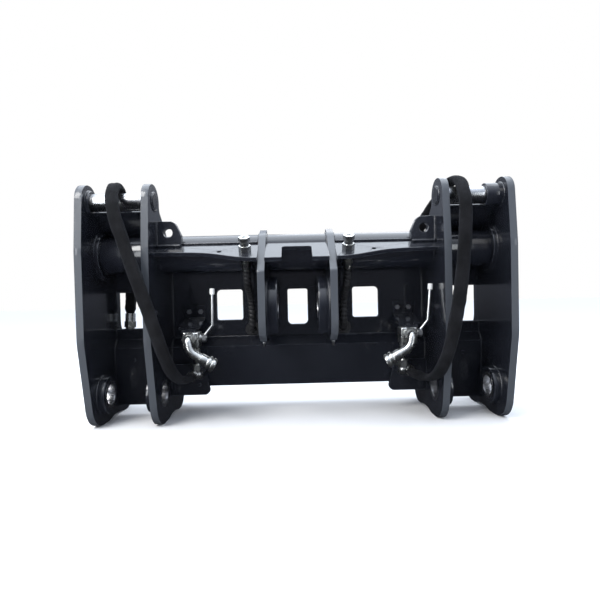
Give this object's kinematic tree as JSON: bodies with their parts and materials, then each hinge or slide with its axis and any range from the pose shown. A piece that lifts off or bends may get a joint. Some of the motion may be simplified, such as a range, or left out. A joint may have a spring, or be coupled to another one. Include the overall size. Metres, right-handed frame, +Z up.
{
  "type": "quick coupler",
  "caption": "Hydraulic wheel loader quick coupler frame with hook pins, lock pins worked by a cylinder, tilt lugs, shut-off valves and sleeved hoses.",
  "frame": {"origin": "middle of the footprint, on the ground under the side plate lobes", "axes": "+X to the right seen from the machine, +Y towards the attachment, +Z up"},
  "size_m": [1.2, 0.3997, 0.6999],
  "materials": {
    "black_paint": "gloss black enamel over steel plate, orange peel, light scuffs on edges",
    "bare_steel": "machined steel, light oil film",
    "zinc": "bright zinc plated hydraulic fittings",
    "rod_chrome": "hard chromed rod",
    "sleeve_fabric": "woven nylon abrasion sleeve",
    "hose_guard": "spiral polymer guard round a rubber hose, and moulded rubber grommet",
    "white_knob": "moulded white lever knob",
    "bolt_steel": "zinc plated fastener"
  },
  "bodies": {
    "frame": {"arm_pivot_bosses": "black_paint", "arm_pivot_bushings": "bare_steel", "back_plate": "black_paint", "bay_lower_plates": "black_paint", "beam_floor": "black_paint", "beam_front_plate": "black_paint", "beam_roof": "black_paint", "bracket_bolts": "bolt_steel", "bulkhead_locknuts": "zinc", "bulkhead_unions": "zinc", "cylinder_glands": "bare_steel", "cylinder_hose_ends": "zinc", "cylinder_hoses": "hose_guard", "cylinder_saddles": "black_paint", "drain_plugs": "black_paint", "drop_pipes": "zinc", "grease_nipples": "bolt_steel", "hook_guard_plates": "black_paint", "hook_pin_collars": "black_paint", "hook_pin_left": "bare_steel", "hook_pin_right": "bare_steel", "hose_coupler_left": "zinc", "hose_coupler_right": "zinc", "hose_fittings": "zinc", "hose_grommets": "hose_guard", "inner_side_plate_left": "black_paint", "inner_side_plate_right": "black_paint", "lifting_ears": "black_paint", "lock_cylinder_barrel": "black_paint", "lock_pin_guides": "black_paint", "lower_gussets": "black_paint", "outer_side_plate_left": "black_paint", "outer_side_plate_right": "black_paint", "port_elbows": "zinc", "shelf_plates": "black_paint", "sleeved_hose_left": "sleeve_fabric", "sleeved_hose_right": "sleeve_fabric", "swivel_nuts": "zinc", "tilt_bosses": "black_paint", "tilt_bushings": "bare_steel", "tilt_lug_left": "black_paint", "tilt_lug_right": "black_paint", "torque_tube": "black_paint", "tube_flanges": "black_paint", "valve_bodies": "zinc", "valve_brackets": "black_paint"},
    "lock_pin_left_body": {"lock_pin_left": "bare_steel", "piston_rod_left": "rod_chrome", "lock_piston_left": "bare_steel"},
    "lock_pin_right_body": {"lock_pin_right": "bare_steel", "piston_rod_right": "rod_chrome", "lock_piston_right": "bare_steel"},
    "valve_handle_left": {"valve_ball_left": "zinc", "valve_stem_left": "zinc", "valve_lever_left": "zinc", "lever_knob_left": "white_knob"},
    "valve_handle_right": {"valve_ball_right": "zinc", "valve_stem_right": "zinc", "valve_lever_right": "zinc", "lever_knob_right": "white_knob"}
  },
  "joints": [
    {"name": "lock_pin_right_slide", "type": "slide", "parent": "frame", "child": "lock_pin_right_body", "axis": [1, 0, 0], "range_m": [0, 0.16]},
    {"name": "lock_pin_left_slide", "type": "slide", "parent": "frame", "child": "lock_pin_left_body", "axis": [-1, 0, 0], "range_m": [0, 0.16]},
    {"name": "valve_lever_left_turn", "type": "hinge", "parent": "frame", "child": "valve_handle_left", "pos_m": [-0.278, -0.09, 0.252], "axis": [1, 0, 0], "range_deg": [0, 90]},
    {"name": "valve_lever_right_turn", "type": "hinge", "parent": "frame", "child": "valve_handle_right", "pos_m": [0.346, -0.09, 0.252], "axis": [1, 0, 0], "range_deg": [0, 90]}
  ],
  "couplings": [
    {"joint": "lock_pin_left_slide", "follows": "lock_pin_right_slide", "ratio": 1}
  ]
}
